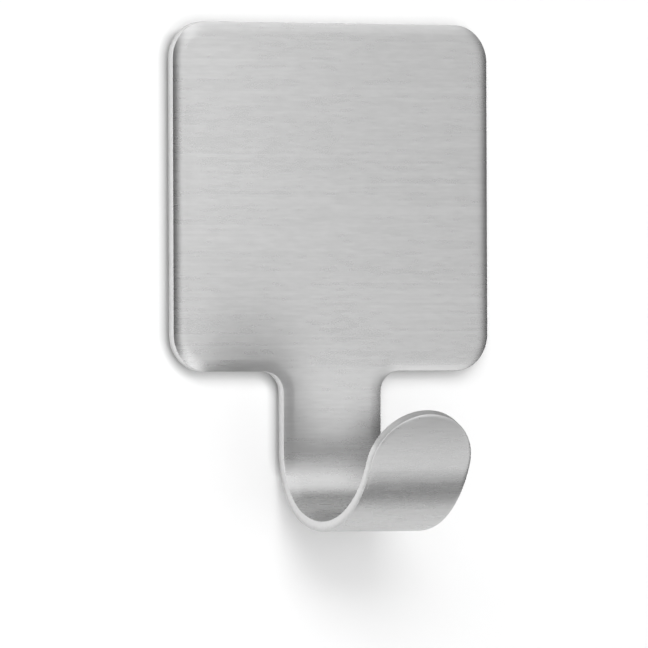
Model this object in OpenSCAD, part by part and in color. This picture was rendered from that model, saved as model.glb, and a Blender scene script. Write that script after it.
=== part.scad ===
// Self-adhesive wall hook: one stamped, bent steel sheet on a square of double-sided foam tape.
// Millimetres. X runs across the hook, +Y into the wall, +Z up.
// The origin is the centre of the tape's wall face.

/* [Plate] */
// Width of the plate
plate_w = 45; // [36:0.5:70]
// Height of the plate, without the tongue
plate_h = 44; // [34:0.5:70]
// Radius of the plate's corners
corner_r = 4.7; // [2.5:0.1:8]
// Thickness of the steel sheet
sheet_t = 1.5; // [1:0.1:2.5]

/* [Hook] */
// Width of the tongue, and of the hook that it becomes
tongue_w = 14; // [9:0.5:22]
// Radius of the inside corners between the plate and the tongue
fillet_r = 2.6; // [1:0.1:5]
// Straight drop of the tongue, from the plate's lower edge to the first bend
tongue_drop = 9.9; // [6:0.1:25]
// Inside radius of the first bend, next to the wall
heel_r = 8.4; // [4:0.1:16]
// Angle of the first bend, that of a triangle with sides of 44, 117 and 125
heel_angle = 69.3903; // [30:0.0001:85]
// Inside radius of the second bend, the hook's bowl
bowl_r = 13; // [6:0.1:25]
// Angle of the second bend, that of a triangle with sides of 237, 3116 and 3125
bowl_angle = 85.65051; // [60:0.00001:100]

/* [Sheet edges] */
// Width of the rounding that the punch leaves along the front edges
front_roll_w = 1.7; // [0.8:0.1:2]
// Radius of that rounding
front_roll_r = 8; // [4:0.1:14]
// Width of the softer deburring along the back edges
back_roll_w = 0.6; // [0.3:0.1:0.9]
// Radius of that deburring
back_roll_r = 3; // [1.5:0.1:6]

/* [Tape] */
// Distance from the plate's edge to the tape's edge
tape_inset = 2.2; // [1:0.1:4]
// Thickness of the foam carrier
foam_t = 0.8; // [0.5:0.1:2]
// Thickness of each adhesive coat
adhesive_t = 0.1; // [0.05:0.01:0.2]

/* [Hidden] */
$fn = 96;

// Both coats and the foam together, which is also where the sheet's back lies
tape_t = foam_t + 2 * adhesive_t;

// The round end of the lip is a half circle over the tongue's full width
lip_r = tongue_w / 2;

// The strip along an inside corner, wide enough for either rounding
rim_w = front_roll_w + back_roll_w;

// How far a cutting shape runs past what it cuts
overrun = 0.5;

// What a rounding takes off: the sheet's corner is the origin, its face lies along -X
module roll_waste(width, radius) {
    difference() {
        translate([-width, -radius])
            square([width + overrun, radius + overrun]);
        translate([-width, -radius])
            circle(radius);
    }
}

// Cut through the sheet beside one edge, from 0 out to reach: X across, Y from back to front
module half_section(reach) {
    difference() {
        square([reach, sheet_t]);
        translate([reach, sheet_t])
            roll_waste(front_roll_w, front_roll_r);
        translate([reach, 0])
            mirror([0, 1])
                roll_waste(back_roll_w, back_roll_r);
    }
}

// Cut through a strip of sheet with both its edges
module section(width) {
    half_section(width / 2);
    mirror([1, 0])
        half_section(width / 2);
}

// Sheet is drawn as it is laid out, from here to plate(): X across, Y from back to front, Z along

// A straight run of strip
module straight(width, length) {
    linear_extrude(length)
        section(width);
    translate([0, 0, length])
        children();
}

// Turns what follows a bend towards the front, about the bend's axis
module turned(axis_y, angle) {
    translate([0, axis_y, 0])
        rotate([-angle, 0, 0])
            translate([0, -axis_y, 0])
                children();
}

// A bend towards the front, with its axis across the strip: a half turn, cut square where it ends
module bend(width, inside_r, angle) {
    axis_y = sheet_t + inside_r;
    difference() {
        translate([0, axis_y, 0])
            rotate([90, 0, -90])
                rotate_extrude(angle = 180)
                    translate([axis_y, 0])
                        rotate(90)
                            section(width);
        turned(axis_y, angle)
            translate([-width, -axis_y, 0])
                cube([2 * width, 4 * axis_y, 2 * axis_y]);
    }
    turned(axis_y, angle)
        children();
}

// A half disc that closes a strip
module round_end(radius) {
    rotate([90, 0, 180])
        rotate_extrude(angle = 180)
            half_section(radius);
}

// A quarter disc whose straight sides face -X and -Z
module outside_corner(radius) {
    rotate([90, 0, 0])
        mirror([0, 0, 1])
            rotate_extrude(angle = 90)
                half_section(radius);
}

// A quarter ring about an inside corner, on its -X and -Z side
module inside_corner(radius) {
    rotate([90, 180, 0])
        mirror([0, 0, 1])
            rotate_extrude(angle = 90)
                translate([radius + rim_w, 0])
                    mirror([1, 0])
                        half_section(rim_w);
}

// Full sheet between an outline's lines: X across, Y along the strip
module flat_sheet() {
    rotate([90, 0, 0])
        mirror([0, 0, 1])
            linear_extrude(sheet_t)
                children();
}

// A rim of sheet along +X, whose edge faces +Z
module edge_strip(reach, length) {
    rotate([90, 0, 90])
        linear_extrude(length)
            rotate(90)
                mirror([0, 1])
                    half_section(reach);
}

// The plate with the tongue's root, laid out with +Z down the wall and the plate's centre at the origin
module plate() {
    side_h = plate_h - 2 * corner_r;
    edge_w = plate_w - 2 * corner_r;
    neck_half = tongue_w / 2 + fillet_r;
    lower_w = edge_w / 2 - neck_half;

    translate([0, 0, -side_h / 2])
        straight(plate_w, side_h);
    translate([-edge_w / 2, 0, -side_h / 2])
        mirror([0, 0, 1])
            edge_strip(corner_r, edge_w);
    for (side = [0, 1])
        mirror([side, 0, 0]) {
            translate([edge_w / 2, 0, side_h / 2])
                outside_corner(corner_r);
            translate([edge_w / 2, 0, -side_h / 2])
                mirror([0, 0, 1])
                    outside_corner(corner_r);
            translate([neck_half, 0, side_h / 2])
                edge_strip(corner_r, lower_w);
            translate([neck_half, 0, plate_h / 2 + fillet_r])
                inside_corner(fillet_r);
        }
    flat_sheet()
        difference() {
            translate([-neck_half, side_h / 2])
                square([2 * neck_half, corner_r + fillet_r]);
            for (side = [-1, 1])
                translate([side * neck_half, plate_h / 2 + fillet_r])
                    circle(fillet_r + rim_w);
        }
}

// The tongue below the plate, both bends and the lip
module tongue_and_hook() {
    translate([0, 0, plate_h / 2 + fillet_r])
        straight(tongue_w, tongue_drop - fillet_r)
            bend(tongue_w, heel_r, heel_angle)
                bend(tongue_w, bowl_r, bowl_angle)
                    round_end(lip_r);
}

module hook_plate() {
    color("silver")
        translate([0, -tape_t, 0])
            rotate([180, 0, 0]) {
                plate();
                tongue_and_hook();
            }
}

// One layer of the tape's die-cut square, from near_wall to near_wall + thickness off the wall
module tape_layer(near_wall, thickness) {
    tape_w = plate_w - 2 * tape_inset;
    tape_h = plate_h - 2 * tape_inset;
    tape_r = corner_r - tape_inset;
    translate([0, -near_wall, 0])
        rotate([90, 0, 0])
            linear_extrude(thickness) {
                square([tape_w - 2 * tape_r, tape_h], center = true);
                square([tape_w, tape_h - 2 * tape_r], center = true);
                for (x = [-1, 1], z = [-1, 1])
                    translate([x * (tape_w / 2 - tape_r), z * (tape_h / 2 - tape_r)])
                        circle(tape_r);
            }
}

module front_adhesive() {
    color("lightyellow")
        tape_layer(adhesive_t + foam_t, adhesive_t);
}

module foam_core() {
    color("white")
        tape_layer(adhesive_t, foam_t);
}

module rear_adhesive() {
    color("lightyellow")
        tape_layer(0, adhesive_t);
}

hook_plate();
front_adhesive();
foam_core();
rear_adhesive();
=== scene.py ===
"""Self-adhesive wall hook: a brushed steel blank, pressed into a J and stuck to a wall on foam tape."""

import math

import bmesh
import bpy
from mathutils import Matrix, Vector, noise


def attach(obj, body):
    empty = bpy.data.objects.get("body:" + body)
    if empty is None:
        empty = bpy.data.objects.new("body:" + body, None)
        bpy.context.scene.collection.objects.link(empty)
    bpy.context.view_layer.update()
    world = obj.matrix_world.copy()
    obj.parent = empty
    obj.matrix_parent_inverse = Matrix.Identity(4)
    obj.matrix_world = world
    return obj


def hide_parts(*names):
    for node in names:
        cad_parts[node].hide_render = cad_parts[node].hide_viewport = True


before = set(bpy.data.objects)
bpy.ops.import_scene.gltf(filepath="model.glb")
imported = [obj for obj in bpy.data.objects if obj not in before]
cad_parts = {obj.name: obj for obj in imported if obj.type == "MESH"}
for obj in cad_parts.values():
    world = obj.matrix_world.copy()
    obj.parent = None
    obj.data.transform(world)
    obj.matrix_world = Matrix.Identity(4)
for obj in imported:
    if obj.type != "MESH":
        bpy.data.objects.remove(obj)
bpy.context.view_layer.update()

# Sizes in millimetres, as in the part's source

MM = 0.001

PLATE_W = 45.0
PLATE_H = 44.0
CORNER_R = 4.7
SHEET_T = 1.5
TONGUE_W = 14.0
FILLET_R = 2.6
TONGUE_DROP = 9.9
HEEL_R = 8.4
HEEL_ANGLE = math.radians(69.3903)
BOWL_R = 13.0
BOWL_ANGLE = math.radians(85.65051)
FRONT_ROLL_W = 1.7
FRONT_ROLL_R = 8.0
BACK_ROLL_W = 0.6
BACK_ROLL_R = 3.0
TAPE_INSET = 2.2
FOAM_T = 0.8
ADHESIVE_T = 0.1

TAPE_T = FOAM_T + 2 * ADHESIVE_T
FRONT_Y = -(TAPE_T + SHEET_T)
BEND_Z = -(PLATE_H / 2 + TONGUE_DROP)


# Nodes

class Wire:
    """A node's output that can be reckoned with: each operator adds a Math node."""

    def __init__(self, bench, socket):
        self.bench = bench
        self.socket = socket

    def maths(self, operation, *values):
        sockets = dict(enumerate(values))
        return self.bench.add("ShaderNodeMath", {"operation": operation}, sockets)

    def __add__(self, other):
        return self.maths("ADD", self, other)

    __radd__ = __add__

    def __sub__(self, other):
        return self.maths("SUBTRACT", self, other)

    def __rsub__(self, other):
        return self.maths("SUBTRACT", other, self)

    def __mul__(self, other):
        return self.maths("MULTIPLY", self, other)

    __rmul__ = __mul__

    def __truediv__(self, other):
        return self.maths("DIVIDE", self, other)

    def __rtruediv__(self, other):
        return self.maths("DIVIDE", other, self)

    def lower(self, other):
        return self.maths("MINIMUM", self, other)

    def higher(self, other):
        return self.maths("MAXIMUM", self, other)

    def within(self, low, high):
        return self.higher(low).lower(high)

    def sine(self):
        return self.maths("SINE", self)

    def cosine(self):
        return self.maths("COSINE", self)

    def floor(self):
        return self.maths("FLOOR", self)

    def unsigned(self):
        return self.maths("ABSOLUTE", self)


class Bench:
    """A node tree to add nodes to."""

    def __init__(self, tree):
        self.tree = tree

    def add(self, kind, settings=None, sockets=None, output=0):
        """Adds a node: its settings first, then its sockets, and returns one of its outputs."""
        node = self.tree.nodes.new(kind)
        for name, value in (settings or {}).items():
            if name == "stops":
                self.set_stops(node.color_ramp, value)
            else:
                setattr(node, name, value)
        for name, value in (sockets or {}).items():
            socket = self.find(node.inputs, name)
            if isinstance(value, Wire):
                self.tree.links.new(value.socket, socket)
            else:
                socket.default_value = value
        if not node.outputs:
            return None
        return Wire(self, self.find(node.outputs, output))

    def find(self, sockets, name):
        """A socket by its number, its identifier or else its name."""
        if isinstance(name, int):
            return sockets[name]
        for socket in sockets:
            if socket.identifier == name:
                return socket
        return sockets[name]

    def set_stops(self, ramp, stops):
        while len(ramp.elements) < len(stops):
            ramp.elements.new(1.0)
        for element, (place, level) in zip(ramp.elements, stops):
            element.position = place
            element.color = grey(level)

    def outputs(self, wire, *names):
        """Several outputs of the node that a wire leaves."""
        sockets = wire.socket.node.outputs
        return [Wire(self, sockets[name]) for name in names]

    def split(self, vector):
        """A vector's X, Y and Z."""
        parts = self.add("ShaderNodeSeparateXYZ", {}, {0: vector})
        return self.outputs(parts, "X", "Y", "Z")

    def place(self, kind="Object"):
        """Where a point is, in one kind of coordinates."""
        return self.add("ShaderNodeTexCoord", {}, {}, kind)

    def layer(self, name):
        """A number that the mesh carries at each vertex."""
        return self.add("ShaderNodeAttribute", {"attribute_name": name}, {}, "Fac")

    def ray_kinds(self):
        """Marks the camera's own rays, and those that come by way of metal or glass."""
        rays = self.add("ShaderNodeLightPath")
        names = ("Is Camera Ray", "Is Glossy Ray", "Is Transmission Ray")
        direct, glossy, through = self.outputs(rays, *names)
        return direct, glossy.higher(through)

    def smooth(self, value, low, high, to_low=0.0, to_high=1.0):
        """Runs from to_low to to_high as value goes from low to high, without a corner at either end."""
        return self.add(
            "ShaderNodeMapRange",
            {"interpolation_type": "SMOOTHSTEP"},
            {"Value": value, "From Min": low, "From Max": high, "To Min": to_low, "To Max": to_high},
        )

    def fade(self, value, low, high):
        """Runs from 1 down to 0 as value goes from low to high."""
        return self.smooth(value, low, high, 1.0, 0.0)

    def blend(self, factor, first, second):
        """Mixes two colours."""
        return self.add(
            "ShaderNodeMix",
            {"data_type": "RGBA"},
            {"Factor_Float": factor, "A_Color": first, "B_Color": second},
            "Result_Color",
        )

    def mix_shaders(self, factor, first, second):
        return self.add("ShaderNodeMixShader", {}, {0: factor, 1: first, 2: second})

    def glow(self, strength):
        """White light of its own."""
        return self.add("ShaderNodeEmission", {}, {"Color": grey(1.0), "Strength": strength})

    def stretched(self, vector, scale):
        return self.add("ShaderNodeVectorMath", {"operation": "MULTIPLY"}, {0: vector, 1: scale})

    def noise(self, vector, scale, detail=2.0, roughness=0.5):
        return self.add(
            "ShaderNodeTexNoise",
            {},
            {"Vector": vector, "Scale": scale, "Detail": detail, "Roughness": roughness},
        )

    def cells(self, vector, scale, softness):
        """Distance from the nearest of many scattered centres, with rounded walls between the cells."""
        return self.add(
            "ShaderNodeTexVoronoi",
            {"feature": "SMOOTH_F1"},
            {"Vector": vector, "Scale": scale, "Smoothness": softness},
            "Distance",
        )

    def bump(self, height, strength, distance):
        sockets = {"Strength": strength, "Distance": distance, "Height": height}
        return self.add("ShaderNodeBump", {}, sockets)


def grey(level):
    return (level, level, level, 1.0)


def new_material(name):
    material = bpy.data.materials.new(name)
    material.use_nodes = True
    material.node_tree.nodes.clear()
    return material, Bench(material.node_tree)


def finish_material(bench, shader):
    bench.add("ShaderNodeOutputMaterial", {}, {"Surface": shader})


# Brushed steel

# The grain: rows in millimetres along the sheet, marks per metre across it, and each kind's share
ROW_SPREAD = 5.37
ROW_DETAIL = 1.0
ROW_ROUGHNESS = 0.4
FLECK_ROW_H = 0.29
FLECKS_PER_M = 560.0
FLECK_SHARE = 0.31
HAIR_ROW_H = 0.31
HAIRS_PER_M = 260.0
HAIR_SHARE = 0.33
STREAK_ROW_H = 0.36
STREAKS_PER_M = 20.0
STREAK_SHARE = 0.36
GRAIN_RANGE = (0.28, 0.72)
STEEL_TONES = (grey(0.53), grey(0.60))

# The cut edge: bright where the punch sheared it, dull where it tore, from a depth in millimetres on
TEAR_DEPTHS = (0.85, 1.6)
TEAR_WANDER = 0.4
TEAR_WAVES_PER_M = 700.0
EDGE_PITS_PER_M = 2600.0
EDGE_PIT_DETAIL = 3.0
EDGE_PIT_ROUGHNESS = 0.6
SHEARED_TONES = (grey(0.64), grey(0.74))
TORN_TONES = (grey(0.46), grey(0.60))
EDGE_DENTS_PER_M = (700.0, 1500.0, 1500.0)
EDGE_DENT_STRENGTH = 0.12
EDGE_DENT_DEPTH = 0.01 * MM

# The gloss: what each thing adds to the roughness, and how far the brushing stretches a reflection
STEEL_ROUGHNESS = 0.28
GRAIN_ROUGHNESS = 0.08
CLOUD_ROUGHNESS = 0.04
CUT_ROUGHNESS = 0.08
TORN_ROUGHNESS = 0.1
CLOUDS_PER_M = 60.0
NOISE_MIDDLE = 0.5
BRUSH_STRETCH = 0.75
BRUSH_TURN = 0.25


def brushed_rows(bench, across, along, row_h, marks_per_m):
    """Brush marks in straight rows: each row of the sheet has its own marks along X."""
    row = (along / row_h).floor()
    spot = bench.add("ShaderNodeCombineXYZ", {}, {"X": across * marks_per_m, "Y": row * ROW_SPREAD})
    return bench.noise(spot, 1.0, ROW_DETAIL, ROW_ROUGHNESS)


def brushed_steel():
    """Stainless sheet, brushed straight across: the rows run along X, also round the bends."""
    material, bench = new_material("brushed_steel")
    place = bench.place()
    across = bench.split(place)[0]
    along = bench.layer("along_mm")
    depth = bench.layer("depth_mm")
    cut = bench.layer("cut_edge")

    flecks = brushed_rows(bench, across, along, FLECK_ROW_H, FLECKS_PER_M)
    hairs = brushed_rows(bench, across, along, HAIR_ROW_H, HAIRS_PER_M)
    streaks = brushed_rows(bench, across, along, STREAK_ROW_H, STREAKS_PER_M)
    grain = flecks * FLECK_SHARE + hairs * HAIR_SHARE + streaks * STREAK_SHARE
    steel = bench.blend(bench.smooth(grain, *GRAIN_RANGE), *STEEL_TONES)

    tear_line = bench.noise(place, TEAR_WAVES_PER_M) * TEAR_WANDER
    torn = bench.smooth(depth + tear_line, *TEAR_DEPTHS)
    pitting = bench.noise(place, EDGE_PITS_PER_M, EDGE_PIT_DETAIL, EDGE_PIT_ROUGHNESS)
    edge = bench.blend(torn, bench.blend(pitting, *SHEARED_TONES), bench.blend(pitting, *TORN_TONES))
    dents = bench.noise(bench.stretched(place, EDGE_DENTS_PER_M), 1.0)

    cloud = bench.noise(place, CLOUDS_PER_M)
    roughness = (
        STEEL_ROUGHNESS
        + (grain - NOISE_MIDDLE) * GRAIN_ROUGHNESS * (1.0 - cut)
        + (cloud - NOISE_MIDDLE) * CLOUD_ROUGHNESS
        + cut * (CUT_ROUGHNESS + torn * TORN_ROUGHNESS)
    )
    shader = bench.add(
        "ShaderNodeBsdfPrincipled",
        {},
        {
            "Base Color": bench.blend(cut, steel, edge),
            "Metallic": 1.0,
            "Roughness": roughness,
            "Anisotropic": BRUSH_STRETCH,
            "Anisotropic Rotation": BRUSH_TURN,
            "Normal": bench.bump(dents * cut, EDGE_DENT_STRENGTH, EDGE_DENT_DEPTH),
        },
    )
    finish_material(bench, shader)
    return material


# Foam

FOAM_CELLS_PER_M = 5200.0
FOAM_CELL_SOFTNESS = 0.4
# Painted shade in the cell hollows: where it fades out across a cell, and its share of the foam's tone
FOAM_HOLLOW_SHADE_RANGE = (0.1, 0.75)
FOAM_HOLLOW_SHADE_SHARE = 0.7
FOAM_CLOUDS_PER_M = 900.0
FOAM_CLOUD_DETAIL = 3.0
FOAM_CLOUD_ROUGHNESS = 0.55
FOAM_CLOUD_SHARE = 0.3
FOAM_TONES = ((0.74, 0.74, 0.71, 1.0), (0.89, 0.89, 0.87, 1.0))
FOAM_ROUGHNESS = 0.78
FOAM_DULLING = 0.16
FOAM_RELIEF_STRENGTH = 0.6
FOAM_RELIEF_DEPTH = 0.06 * MM


def foam():
    """White closed-cell foam: fine cells with painted shade in their hollows, dull all over."""
    material, bench = new_material("foam")
    place = bench.place()
    cells = bench.cells(place, FOAM_CELLS_PER_M, FOAM_CELL_SOFTNESS)
    cloud = bench.noise(place, FOAM_CLOUDS_PER_M, FOAM_CLOUD_DETAIL, FOAM_CLOUD_ROUGHNESS)
    # Painted shade: each cell's centre, which the bump sinks, is painted darker; the cloud adds the foam's
    # own uneven tone
    hollow = bench.smooth(cells, *FOAM_HOLLOW_SHADE_RANGE)
    tone = (hollow * FOAM_HOLLOW_SHADE_SHARE + cloud * FOAM_CLOUD_SHARE).within(0.0, 1.0)
    shader = bench.add(
        "ShaderNodeBsdfPrincipled",
        {},
        {
            "Base Color": bench.blend(tone, *FOAM_TONES),
            "Roughness": FOAM_ROUGHNESS + cloud * FOAM_DULLING,
            "Normal": bench.bump(cells, FOAM_RELIEF_STRENGTH, FOAM_RELIEF_DEPTH),
        },
    )
    finish_material(bench, shader)
    return material


# Adhesive

COAT_CLOUDS_PER_M = 140.0
COAT_CLOUD_DETAIL = 3.0
COAT_CLOUD_ROUGHNESS = 0.55
COAT_CLOUD_RANGE = (0.3, 0.7)
COAT_TONES = ((0.80, 0.785, 0.71, 1.0), (0.875, 0.868, 0.815, 1.0))
COAT_RIPPLES_PER_M = 900.0
COAT_PITS_PER_M = 520.0
COAT_PIT_RANGE = (0.10, 0.17)
COAT_PIT_TONE = (0.90, 0.90, 0.87, 1.0)
COAT_PIT_SHARE = 0.5
COAT_ROUGHNESS = 0.26
RIPPLE_ROUGHNESS = 0.14
PIT_ROUGHNESS = 0.25
COAT_GLOSS = 0.25
RIPPLE_RELIEF = 0.8
CLOUD_RELIEF = 0.8
PIT_RELIEF = 0.6
COAT_RELIEF_STRENGTH = 0.5
COAT_RELIEF_DEPTH = 0.04 * MM


def adhesive():
    """Acrylic coat: cream, a little glossy, with fine ripples and a few pits."""
    material, bench = new_material("adhesive")
    place = bench.place()
    cloud = bench.noise(place, COAT_CLOUDS_PER_M, COAT_CLOUD_DETAIL, COAT_CLOUD_ROUGHNESS)
    ripples = bench.noise(place, COAT_RIPPLES_PER_M)
    centres = bench.add(
        "ShaderNodeTexVoronoi",
        {"feature": "F1"},
        {"Vector": place, "Scale": COAT_PITS_PER_M},
        "Distance",
    )
    pit = bench.fade(centres, *COAT_PIT_RANGE)
    coat = bench.blend(bench.smooth(cloud, *COAT_CLOUD_RANGE), *COAT_TONES)
    relief = ripples * RIPPLE_RELIEF + cloud * CLOUD_RELIEF - pit * PIT_RELIEF
    shader = bench.add(
        "ShaderNodeBsdfPrincipled",
        {},
        {
            "Base Color": bench.blend(pit * COAT_PIT_SHARE, coat, COAT_PIT_TONE),
            "Roughness": COAT_ROUGHNESS + ripples * RIPPLE_ROUGHNESS + pit * PIT_ROUGHNESS,
            "Coat Weight": COAT_GLOSS,
            "Normal": bench.bump(relief, COAT_RELIEF_STRENGTH, COAT_RELIEF_DEPTH),
        },
    )
    finish_material(bench, shader)
    return material


# Meshes and trees that the steel and the tape share

def arc(centre, radius, start, stop, steps, outward=1.0):
    """Points on an arc in X and Z, each with the direction that leaves the sheet there."""
    points = []
    for step in range(steps + 1):
        angle = math.radians(start + (stop - start) * step / steps)
        across = math.cos(angle)
        up = math.sin(angle)
        place = (centre[0] + radius * across, centre[1] + radius * up)
        points.append((place, (outward * across, outward * up)))
    return points


def join_rings(mesh, rings):
    """Makes the faces between each ring of vertices and the next."""
    count = len(rings[0])
    for near, far in zip(rings, rings[1:]):
        for one in range(count):
            two = (one + 1) % count
            mesh.faces.new((near[one], near[two], far[two], far[one]))


def start_tree(name, sizes, material):
    """A Geometry Nodes tree with a named input for each size: its bench, its inputs and their values."""
    tree = bpy.data.node_groups.new(name, "GeometryNodeTree")
    tree.is_modifier = True
    tree.interface.new_socket("Blank", in_out="INPUT", socket_type="NodeSocketGeometry")
    values = {}
    for label, value in sizes.items():
        item = tree.interface.new_socket(label, in_out="INPUT", socket_type="NodeSocketFloat")
        values[item.identifier] = value
    item = tree.interface.new_socket("Finish", in_out="INPUT", socket_type="NodeSocketMaterial")
    values[item.identifier] = material
    tree.interface.new_socket("Piece", in_out="OUTPUT", socket_type="NodeSocketGeometry")
    bench = Bench(tree)
    labels = ["Blank", *sizes, "Finish"]
    wires = bench.outputs(bench.add("NodeGroupInput"), *labels)
    return bench, dict(zip(labels, wires)), values


def end_tree(bench, piece, finish):
    """Ends a tree in smooth, real geometry with its material."""
    piece = bench.add("GeometryNodeSetShadeSmooth", {}, {"Geometry": piece})
    piece = bench.add("GeometryNodeRealizeInstances", {}, {"Geometry": piece})
    piece = bench.add("GeometryNodeSetMaterial", {}, {"Geometry": piece, "Material": finish})
    bench.add("NodeGroupOutput", {}, {"Piece": piece})


def made_by(name, blank, tree, values):
    """Runs a tree over a blank and keeps the result as a plain mesh object."""
    mesh = bpy.data.meshes.new(name + "_blank")
    blank.to_mesh(mesh)
    blank.free()
    carrier = bpy.data.objects.new(name + "_blank", mesh)
    bpy.context.scene.collection.objects.link(carrier)
    modifier = carrier.modifiers.new("make", "NODES")
    modifier.node_group = tree
    for identifier, value in values.items():
        modifier[identifier] = value
    bpy.context.view_layer.update()
    depsgraph = bpy.context.evaluated_depsgraph_get()
    made = bpy.data.meshes.new_from_object(carrier.evaluated_get(depsgraph))
    made.name = name
    carrier.modifiers.remove(modifier)
    bpy.data.objects.remove(carrier)
    bpy.data.meshes.remove(mesh)
    piece = bpy.data.objects.new(name, made)
    bpy.context.scene.collection.objects.link(piece)
    return piece


# The steel blank

ARC_STEPS = 24
TIP_STEPS = 32
ROW_STEP = 0.4
ROLL_STEPS = 8
CREASE_W = 0.07
CREASE_STEPS = 4
LEVEL_W = 0.3

# Where the roll's own steps stop, a little before the crease starts
ROLL_END = 1.5 * CREASE_W


def half_outline():
    """The flat blank's right edge, from the top down to the tip, and where its tongue starts."""
    side_x = PLATE_W / 2 - CORNER_R
    side_z = PLATE_H / 2 - CORNER_R
    neck = (TONGUE_W / 2 + FILLET_R, -PLATE_H / 2 - FILLET_R)
    points = arc((side_x, side_z), CORNER_R, 90, 0, ARC_STEPS)
    points += arc((side_x, -side_z), CORNER_R, 0, -90, ARC_STEPS)
    points += arc(neck, FILLET_R, 90, 180, ARC_STEPS, -1.0)
    tongue_from = len(points) - 1
    rows = [BEND_Z]
    for length in (HEEL_R * HEEL_ANGLE, BOWL_R * BOWL_ANGLE):
        count = math.ceil(length / ROW_STEP)
        start = rows[-1]
        rows += [start - length * (row + 1) / count for row in range(count)]
    points += [((TONGUE_W / 2, z), (1.0, 0.0)) for z in rows]
    points += arc((0.0, rows[-1]), TONGUE_W / 2, 0, -90, TIP_STEPS)[1:]
    return points, tongue_from


def rolled_face(width, radius):
    """The rounding along one face, as steps of (distance in from the edge, depth under the face)."""
    def sunk(run):
        return radius - math.sqrt(radius ** 2 - run ** 2)

    steps = [(width + LEVEL_W, 0.0)]
    for step in range(ROLL_STEPS + 1):
        run = (width - ROLL_END) * step / ROLL_STEPS
        steps.append((width - run, sunk(run)))
    start = (CREASE_W, sunk(width - CREASE_W))
    corner = (0.0, sunk(width))
    stop = (0.0, corner[1] + CREASE_W)
    for step in range(CREASE_STEPS + 1):
        share = step / CREASE_STEPS
        first = (1 - share) ** 2
        middle = 2 * share * (1 - share)
        last = share ** 2
        steps.append(tuple(first * a + middle * b + last * c for a, b, c in zip(start, corner, stop)))
    return steps


def edge_profile():
    """The sheet's edge from the front face round to the back: distance in, depth, and 1 on the cut face."""
    front = rolled_face(FRONT_ROLL_W, FRONT_ROLL_R)
    back = rolled_face(BACK_ROLL_W, BACK_ROLL_R)
    half_crease = CREASE_STEPS // 2
    profile = []
    for number, (inset, depth) in enumerate(front):
        cut = 1.0 if number >= len(front) - half_crease else 0.0
        profile.append((inset, depth, cut))
    profile.append((0.0, front[-1][1] + CREASE_W, 1.0))
    profile.append((0.0, SHEET_T - back[-1][1] - CREASE_W, 1.0))
    for number, (inset, depth) in reversed(list(enumerate(back))):
        cut = 1.0 if number >= len(back) - half_crease else 0.0
        profile.append((inset, SHEET_T - depth, cut))
    return profile


def flat_blank():
    """The stamped blank before it is bent, with its rolled edges, hung where the hook goes."""
    half, tongue_from = half_outline()
    mirrored = [((-p[0], p[1]), (-n[0], n[1])) for p, n in reversed(half[:-1])]
    outline = half + mirrored
    tip = len(half) - 1
    mesh = bmesh.new()
    cut_edge = mesh.verts.layers.float.new("cut_edge")
    along_mm = mesh.verts.layers.float.new("along_mm")
    depth_mm = mesh.verts.layers.float.new("depth_mm")
    rings = []
    for inset, depth, cut in edge_profile():
        ring = []
        for (x, z), (nx, nz) in outline:
            along = z - inset * nz
            vertex = mesh.verts.new(((x - inset * nx) * MM, (FRONT_Y + depth) * MM, along * MM))
            vertex[cut_edge] = cut
            vertex[along_mm] = along
            vertex[depth_mm] = depth
            ring.append(vertex)
        rings.append(ring)
    join_rings(mesh, rings)

    def other(index):
        return len(outline) - 1 - index

    for ring in (rings[0], rings[-1]):
        plate = ring[: tongue_from + 1] + ring[other(tongue_from):]
        mesh.faces.new(plate)
        for row in range(tongue_from, tip - 1):
            mesh.faces.new((ring[row], ring[row + 1], ring[other(row + 1)], ring[other(row)]))
        mesh.faces.new((ring[tip - 1], ring[tip], ring[tip + 1]))
    bmesh.ops.recalc_face_normals(mesh, faces=mesh.faces)
    return mesh


def bending_tree(steel):
    """The press: takes the flat blank round the heel and the bowl, measured on the front face."""
    sizes = {
        "Front face": FRONT_Y * MM,
        "Bend start": BEND_Z * MM,
        "Heel radius": HEEL_R * MM,
        "Heel angle": HEEL_ANGLE,
        "Bowl radius": BOWL_R * MM,
        "Bowl angle": BOWL_ANGLE,
    }
    bench, inputs, values = start_tree("bend_the_blank", sizes, steel)
    front = inputs["Front face"]
    bend_start = inputs["Bend start"]
    heel_r = inputs["Heel radius"]
    bowl_r = inputs["Bowl radius"]
    across, y, z = bench.split(bench.add("GeometryNodeInputPosition"))
    depth = y - front
    run = bend_start - z
    heel_run = heel_r * inputs["Heel angle"]
    bowl_run = bowl_r * inputs["Bowl angle"]
    before = run.lower(0.0)
    heel = run.within(0.0, heel_run) / heel_r
    turn = heel + (run - heel_run).within(0.0, bowl_run) / bowl_r
    after = (run - heel_run - bowl_run).higher(0.0)
    forward = (
        heel_r * (1.0 - heel.cosine())
        + bowl_r * (heel.cosine() - turn.cosine())
        + (after * turn.sine() - depth * turn.cosine())
    )
    down = (
        before
        + heel_r * heel.sine()
        + bowl_r * (turn.sine() - heel.sine())
        + (after * turn.cosine() + depth * turn.sine())
    )
    bent = bench.add(
        "ShaderNodeCombineXYZ",
        {},
        {"X": across, "Y": front - forward, "Z": bend_start - down},
    )
    hook = bench.add("GeometryNodeSetPosition", {}, {"Geometry": inputs["Blank"], "Position": bent})
    end_tree(bench, hook, inputs["Finish"])
    return bench.tree, values


# The foam tape

TAPE_STEP = 0.25
CORNER_STEPS = 12
RIM_W = 0.5

# How fast the cut edge wanders, along the edge and from one face of a layer to the other
WANDER_PER_MM = 0.35
WANDER_PER_LAYER = 0.6

# Where a cell's hollow ends and its wall begins, in cell sizes
HOLLOW_RANGE = (0.15, 0.7)
HOLLOW_SOFTNESS = 0.3

FOAM_ROWS = 8
FOAM_WANDER = 0.08
FOAM_CELL = 0.28
FOAM_CELL_DEPTH = 0.12
COAT_ROWS = 2
COAT_WANDER = 0.16
COAT_NICK = 0.9
COAT_NICK_DEPTH = 0.04


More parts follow.
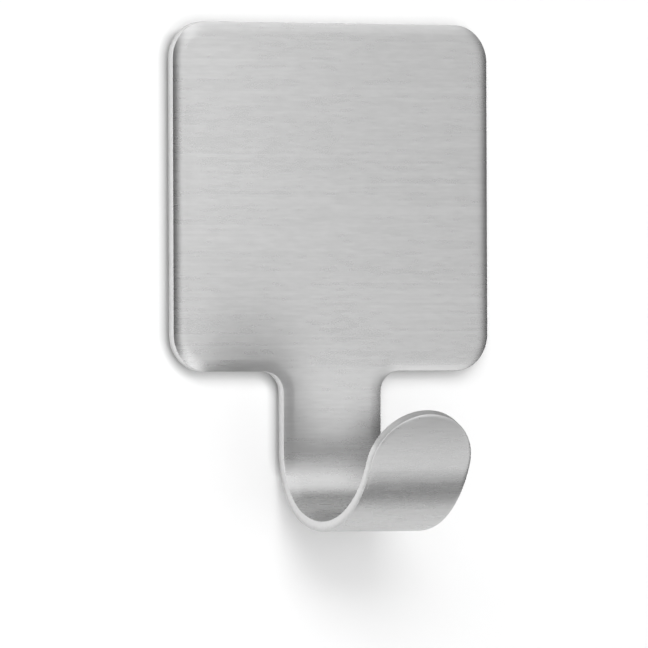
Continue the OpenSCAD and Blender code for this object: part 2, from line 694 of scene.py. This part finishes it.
def tape_outline():
    """The tape's die-cut square, with the direction that leaves it at each point."""
    radius = CORNER_R - TAPE_INSET
    half_w = PLATE_W / 2 - TAPE_INSET - radius
    half_h = PLATE_H / 2 - TAPE_INSET - radius
    corners = []
    for start, (sx, sz) in zip((90, 0, -90, -180), ((1, 1), (1, -1), (-1, -1), (-1, 1))):
        corners.append(arc((sx * half_w, sz * half_h), radius, start, start - 90, CORNER_STEPS))
    outline = []
    for number, corner in enumerate(corners):
        outline += corner
        (x0, z0), normal = corner[-1]
        (x1, z1), _ = corners[(number + 1) % len(corners)][0]
        steps = round(math.hypot(x1 - x0, z1 - z0) / TAPE_STEP)
        for step in range(1, steps):
            share = step / steps
            outline.append(((x0 + (x1 - x0) * share, z0 + (z1 - z0) * share), normal))
    return outline


def tape_layer(near_wall, thickness, rows, wander, seed):
    """One layer of the tape: its cut edge wanders a little, and its faces are flat where they are stuck."""
    outline = tape_outline()
    mesh = bmesh.new()
    cut_edge = mesh.verts.layers.float.new("cut_edge")
    rings = []
    insets = [(RIM_W, 0.0)] + [(0.0, row / rows) for row in range(rows + 1)] + [(RIM_W, 1.0)]
    for inset, height in insets:
        ring = []
        y = -(near_wall + thickness * height)
        rise = height * WANDER_PER_LAYER + seed
        for (x, z), (nx, nz) in outline:
            spot = Vector((x * WANDER_PER_MM, rise, z * WANDER_PER_MM))
            back = inset + wander - wander * noise.noise(spot)
            vertex = mesh.verts.new(((x - back * nx) * MM, y * MM, (z - back * nz) * MM))
            vertex[cut_edge] = 0.0 if inset or height in (0.0, 1.0) else 1.0
            ring.append(vertex)
        rings.append(ring)
    join_rings(mesh, rings)
    mesh.faces.new(rings[0])
    mesh.faces.new(rings[-1])
    bmesh.ops.recalc_face_normals(mesh, faces=mesh.faces)
    return mesh


def cut_edge_tree(material, cell_size, cell_depth, seed):
    """Opens cells along a cut edge: the edge is pushed in by a cell pattern, and the faces stay flat."""
    sizes = {"Cell size": cell_size * MM, "Cell depth": cell_depth * MM, "Seed": seed}
    bench, inputs, values = start_tree("open_the_cells", sizes, material)
    place = bench.add("GeometryNodeInputPosition")
    shift = bench.add("ShaderNodeCombineXYZ", {}, {"X": inputs["Seed"]})
    moved = bench.add("ShaderNodeVectorMath", {"operation": "ADD"}, {0: place, 1: shift})
    cells = bench.cells(moved, 1.0 / inputs["Cell size"], HOLLOW_SOFTNESS)
    hollow = 1.0 - bench.smooth(cells, *HOLLOW_RANGE)
    cut = bench.add(
        "GeometryNodeInputNamedAttribute",
        {"data_type": "FLOAT"},
        {"Name": "cut_edge"},
        "Attribute",
    )
    normal = bench.add("GeometryNodeInputNormal")
    inward = bench.add(
        "ShaderNodeVectorMath",
        {"operation": "SCALE"},
        {0: normal, "Scale": hollow * cut * (0.0 - inputs["Cell depth"])},
    )
    layer = bench.add("GeometryNodeSetPosition", {}, {"Geometry": inputs["Blank"], "Offset": inward})
    end_tree(bench, layer, inputs["Finish"])
    return bench.tree, values


# The pieces

steel = brushed_steel()
foam_white = foam()
cream_coat = adhesive()

# The brushing's direction follows the texture space, which is so far behind that it runs along X all over
BRUSH_CENTRE = (0.0, 2.0, 0.0)
BRUSH_SIZE = (0.1, 0.1, 0.1)

hook = made_by("pressed_hook", flat_blank(), *bending_tree(steel))
hook.data.use_auto_texspace = False
hook.data.texspace_location = BRUSH_CENTRE
hook.data.texspace_size = BRUSH_SIZE
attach(hook, "root")
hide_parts("hook_plate")

foam_pad = made_by(
    "foam_pad",
    tape_layer(ADHESIVE_T, FOAM_T, FOAM_ROWS, FOAM_WANDER, seed=1.0),
    *cut_edge_tree(foam_white, FOAM_CELL, FOAM_CELL_DEPTH, seed=0.37),
)
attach(foam_pad, "root")
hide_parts("foam_core")

plate_coat = made_by(
    "plate_side_adhesive",
    tape_layer(ADHESIVE_T + FOAM_T, ADHESIVE_T, COAT_ROWS, COAT_WANDER, seed=2.0),
    *cut_edge_tree(cream_coat, COAT_NICK, COAT_NICK_DEPTH, seed=0.11),
)
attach(plate_coat, "root")
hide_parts("front_adhesive")

wall_coat = made_by(
    "wall_side_adhesive",
    tape_layer(0.0, ADHESIVE_T, COAT_ROWS, COAT_WANDER, seed=3.0),
    *cut_edge_tree(cream_coat, COAT_NICK, COAT_NICK_DEPTH, seed=0.73),
)
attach(wall_coat, "root")
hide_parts("rear_adhesive")


# The wall, in metres

WALL_GAP = 0.05 * MM
WALL_HALF = 1.5
WALL_PAINT = 0.92
WALL_LIFT = 0.03
WALL_FADE = (75 * MM, 140 * MM)

# The contact shadow, painted into the wall's colour: how dark it is, how far it reaches, and how far under
# the plate's top it has gone
CONTACT_PAINT = 0.03
CONTACT_REACH = 1.6 * MM
CONTACT_DROP = 0.5 * MM
CONTACT_TOP = PLATE_H / 2 * MM - CONTACT_DROP
CONTACT_SAMPLES = 16

# Where the plate and the tongue hide the wall: each pair of distances is the soft edge of that place
PLATE_COVER_X = (21.8 * MM, 22.8 * MM)
PLATE_COVER_Z = (21.3 * MM, 22.3 * MM)
TONGUE_COVER_X = (5.5 * MM, 7.5 * MM)
TONGUE_COVER_Z = (-50.0 * MM, -40.0 * MM)
TONGUE_COVER_TOP = (0.0, PLATE_COVER_Z[0])


def hidden_wall(bench, beside, height):
    """Marks the wall behind the plate and the tongue."""
    plate = bench.fade(beside, *PLATE_COVER_X) * bench.fade(height.unsigned(), *PLATE_COVER_Z)
    tongue = bench.fade(beside, *TONGUE_COVER_X) * bench.smooth(height, *TONGUE_COVER_Z)
    tongue = tongue * bench.fade(height, *TONGUE_COVER_TOP)
    return plate.higher(tongue)


def white_wall():
    """A matt white wall with the hook's cast shadow and a painted contact shadow, plain white further off.

    It shows from its front only. Behind the plate and the tongue, the metal's reflections pass through it,
    so that their backs aren't black.
    """
    material, bench = new_material("white_wall")
    direct, mirrored = bench.ray_kinds()
    from_behind = bench.add("ShaderNodeNewGeometry", {}, {}, "Backfacing")
    place = bench.place()
    x, _, height = bench.split(place)
    hidden = hidden_wall(bench, x.unsigned(), height)
    away = bench.add("ShaderNodeVectorMath", {"operation": "LENGTH"}, {0: place}, "Value")
    free = bench.add(
        "ShaderNodeAmbientOcclusion",
        {"samples": CONTACT_SAMPLES},
        {"Distance": CONTACT_REACH},
        "AO",
    )
    # Painted shade: close to the hook the occlusion node mixes the wall's paint towards dark, as a contact
    # shadow
    contact = (1.0 - free) * bench.fade(height, CONTACT_TOP - CONTACT_REACH, CONTACT_TOP)
    paint = bench.add("ShaderNodeBsdfDiffuse", {}, {"Color": grey(WALL_PAINT)})
    shaded = bench.add("ShaderNodeBsdfDiffuse", {}, {"Color": grey(CONTACT_PAINT)})
    paint = bench.mix_shaders(contact, paint, shaded)
    lit = bench.add("ShaderNodeAddShader", {}, {0: paint, 1: bench.glow(WALL_LIFT)})
    lit = bench.mix_shaders(bench.smooth(away, *WALL_FADE), lit, bench.glow(1.0))
    clear = bench.add("ShaderNodeBsdfTransparent")
    shown = direct.higher(mirrored) * (1.0 - from_behind) * (1.0 - mirrored * hidden)
    finish_material(bench, bench.mix_shaders(shown, clear, lit))
    return material


def on_stage(name, mesh):
    """Puts a mesh on the stage, beside the hook."""
    panel = bpy.data.objects.new(name, mesh)
    bpy.context.scene.collection.objects.link(panel)
    return panel


def upright_panel(name, centre, half_w, half_h):
    """A flat panel that faces away from the wall, with a UV map from its lower left corner."""
    across = Vector((half_w, 0.0, 0.0))
    up = Vector((0.0, 0.0, half_h))
    mesh = bpy.data.meshes.new(name)
    corners = [(-1, -1), (1, -1), (1, 1), (-1, 1)]
    mesh.from_pydata([centre + across * a + up * b for a, b in corners], [], [(0, 1, 2, 3)])
    layer = mesh.uv_layers.new(name="panel")
    for loop, (a, b) in zip(layer.data, corners):
        loop.uv = ((a + 1) / 2, (b + 1) / 2)
    return on_stage(name, mesh)


wall = upright_panel("wall", Vector((0.0, WALL_GAP, 0.0)), WALL_HALF, WALL_HALF)
wall.data.materials.append(white_wall())


# The studio's light

FRONT_FILL = 0.20
BACK_FILL = 0.9
FILL_TURN = (-0.3, 0.3)
REAR_ZONE = 0.95
REAR_TURN = (0.05, 0.5)

# How bright the studio is in the metal, from straight down at 0 to straight up at 1
ZONE_STOPS = [
    (0.0, 0.18),
    (0.035, 0.20),
    (0.075, 0.95),
    (0.17, 1.19),
    (0.24, 1.50),
    (0.33, 1.75),
    (0.43, 2.02),
    (0.57, 2.02),
    (0.68, 1.58),
    (0.88, 1.60),
    (0.94, 1.30),
    (0.97, 0.70),
    (1.0, 0.60),
]


def studio_world():
    """A white studio: even for the wall and the tape, with bright and dim zones that the metal mirrors."""
    world = bpy.data.worlds.new("studio")
    bpy.context.scene.world = world
    world.cycles.sampling_method = "NONE"
    world.use_nodes = True
    world.node_tree.nodes.clear()
    bench = Bench(world.node_tree)
    _, towards_rear, upward = bench.split(bench.place("Generated"))
    direct, mirrored = bench.ray_kinds()
    zones = bench.add("ShaderNodeValToRGB", {"stops": ZONE_STOPS}, {0: (upward + 1.0) / 2.0})
    zones = bench.blend(bench.smooth(towards_rear, *REAR_TURN), zones, grey(REAR_ZONE))
    fill = bench.smooth(towards_rear, *FILL_TURN, FRONT_FILL, BACK_FILL)
    colour = bench.blend(mirrored, fill.higher(direct), zones)
    shader = bench.add("ShaderNodeBackground", {}, {"Color": colour, "Strength": 1.0})
    bench.add("ShaderNodeOutputWorld", {}, {"Surface": shader})


studio_world()


# Cards that only the metal's reflections see

CARD_FAR = 0.35
CARD_STEPS = 16


def card_finish(level, shares):
    """A card's glow, which fades out towards its edges over shares of its width and height."""
    material, bench = new_material("card")
    u, v, _ = bench.split(bench.place("UV"))
    left, right, lower, upper = shares
    cover = bench.smooth(u, 0.0, left) * bench.smooth(1.0 - u, 0.0, right)
    cover = cover * bench.smooth(v, 0.0, lower) * bench.smooth(1.0 - v, 0.0, upper)
    clear = bench.add("ShaderNodeBsdfTransparent")
    finish_material(bench, bench.mix_shaders(cover, clear, bench.glow(level)))
    return material


def show_to_metal(panel, level, soft, wide, high):
    """Gives a card its finish and hides it from all but reflections.

    soft is how far it fades in from its left, right, lower and upper edge, in the unit of wide and high.
    """
    left, right, lower, upper = soft
    shares = (left / wide, right / wide, lower / high, upper / high)
    panel.data.materials.append(card_finish(level, shares))
    panel.visible_camera = False
    panel.visible_diffuse = False
    panel.visible_shadow = False


def card(name, azimuths, rises, level, soft):
    """Hangs a curved card in front of the hook, between two azimuths and two rises in degrees."""
    wide = azimuths[1] - azimuths[0]
    high = rises[1] - rises[0]
    places = []
    spots = []
    for row in range(CARD_STEPS + 1):
        for column in range(CARD_STEPS + 1):
            u = column / CARD_STEPS
            v = row / CARD_STEPS
            azimuth = math.radians(azimuths[0] + wide * u)
            rise = math.radians(rises[0] + high * v)
            level_run = math.cos(rise)
            away = Vector((math.sin(azimuth) * level_run, -math.cos(azimuth) * level_run, math.sin(rise)))
            places.append(away * CARD_FAR)
            spots.append((u, v))
    faces = []
    for row in range(CARD_STEPS):
        for column in range(CARD_STEPS):
            one = row * (CARD_STEPS + 1) + column
            two = one + CARD_STEPS + 1
            faces.append((one, one + 1, two + 1, two))
    mesh = bpy.data.meshes.new(name)
    mesh.from_pydata(places, [], faces)
    layer = mesh.uv_layers.new(name="card")
    for loop, spot in zip(mesh.loops, layer.data):
        spot.uv = spots[loop.vertex_index]
    show_to_metal(on_stage(name, mesh), level, soft, wide, high)


def shade(name, across, rises, off_wall, level, soft):
    """Hangs a small flat card close to the hook, in millimetres."""
    wide = across[1] - across[0]
    high = rises[1] - rises[0]
    centre = Vector((sum(across) / 2, -off_wall, sum(rises) / 2)) * MM
    panel = upright_panel(name, centre, wide / 2 * MM, high / 2 * MM)
    show_to_metal(panel, level, soft, wide, high)


card("left_card", azimuths=(-70, 14), rises=(-40, 40), level=1.10, soft=(10, 12, 15, 15))
card("right_card", azimuths=(6, 100), rises=(-28, 36), level=0.80, soft=(25, 5, 20, 22))
card("far_right_card", azimuths=(39, 100), rises=(-40, 50), level=0.0, soft=(15, 5, 12, 15))
card("high_right_card", azimuths=(57, 130), rises=(30, 88), level=0.10, soft=(15, 10, 15, 5))
card("low_card", azimuths=(40, 100), rises=(-80, -40), level=0.22, soft=(14, 5, 8, 14))
card("side_low_card", azimuths=(50, 110), rises=(-60, -20), level=0.05, soft=(10, 5, 15, 10))

shade(
    "left_shade",
    across=(-27.0, -16.2), rises=(-24.0, 24.0), off_wall=10.5, level=0.13, soft=(1.0, 6.0, 3.0, 3.0),
)
shade(
    "right_shade",
    across=(27.0, 50.0), rises=(-24.0, 24.0), off_wall=10.5, level=0.08, soft=(9.0, 4.0, 3.0, 3.0),
)
shade(
    "lip_front_shade",
    across=(-6.0, 19.0), rises=(-44.6, -34.5), off_wall=40.0, level=0.11, soft=(3.0, 3.0, 6.0, 3.0),
)
shade(
    "lip_shade",
    across=(-8.0, 7.4), rises=(-32.0, -16.5), off_wall=26.5, level=0.36, soft=(5.0, 2.0, 1.0, 6.0),
)
shade(
    "low_lip_shade",
    across=(-5.0, 6.0), rises=(-36.0, -25.0), off_wall=18.0, level=0.42, soft=(2.0, 3.0, 1.0, 5.0),
)
shade(
    "tongue_card",
    across=(4.0, 19.0), rises=(-28.4, -20.5), off_wall=22.0, level=1.15, soft=(4.0, 4.0, 3.0, 3.0),
)
shade(
    "mouth_shade",
    across=(-6.0, 18.0), rises=(-41.3, -30.2), off_wall=9.5, level=0.42, soft=(3.0, 4.0, 2.6, 0.8),
)
shade(
    "mouth_side_shade",
    across=(4.0, 32.0), rises=(-41.3, -26.0), off_wall=9.6, level=0.0, soft=(8.0, 4.0, 2.6, 4.5),
)


# Lamps

LAMP_AIM = Vector((0.0, 0.0, -0.02))


def soft_lamp(name, place, wide, high, power):
    """An oval area lamp that neither the camera nor the metal sees."""
    data = bpy.data.lights.new(name, "AREA")
    data.shape = "ELLIPSE"
    data.size = wide
    data.size_y = high
    data.energy = power
    lamp = bpy.data.objects.new(name, data)
    lamp.location = place
    lamp.rotation_euler = (LAMP_AIM - Vector(place)).to_track_quat("-Z", "Y").to_euler()
    lamp.visible_camera = False
    lamp.visible_glossy = False
    bpy.context.scene.collection.objects.link(lamp)


soft_lamp("key_light", place=(-0.27, -0.73, 0.46), wide=0.75, high=0.42, power=3.6)
soft_lamp("broad_light", place=(-0.05, -0.80, -0.14), wide=1.25, high=1.25, power=6.0)


# Camera

CAMERA_YAW = math.radians(28.03)
CAMERA_RISE = math.radians(-1.01)
CAMERA_ROLL = math.radians(0.20)
CAMERA_FAR = 1.198
PIXELS_PER_M = 7897.0
FRAME_PX = 648
SENSOR_W = 36.0
AIM = Vector((0.00023, 0.00020, -0.01600))

camera_at = CAMERA_FAR * Vector(
    (
        -math.sin(CAMERA_YAW) * math.cos(CAMERA_RISE),
        -math.cos(CAMERA_YAW) * math.cos(CAMERA_RISE),
        math.sin(CAMERA_RISE),
    )
)
lens = bpy.data.cameras.new("camera")
lens.sensor_width = SENSOR_W
lens.lens = SENSOR_W * PIXELS_PER_M * CAMERA_FAR / FRAME_PX
camera = bpy.data.objects.new("camera", lens)
bpy.context.scene.collection.objects.link(camera)
level_view = (AIM - camera_at).to_track_quat("-Z", "Y").to_matrix()
camera_turn = level_view @ Matrix.Rotation(-CAMERA_ROLL, 3, "Z")
camera.matrix_world = Matrix.Translation(camera_at) @ camera_turn.to_4x4()
bpy.context.scene.camera = camera
bpy.context.scene.view_settings.view_transform = "Standard"
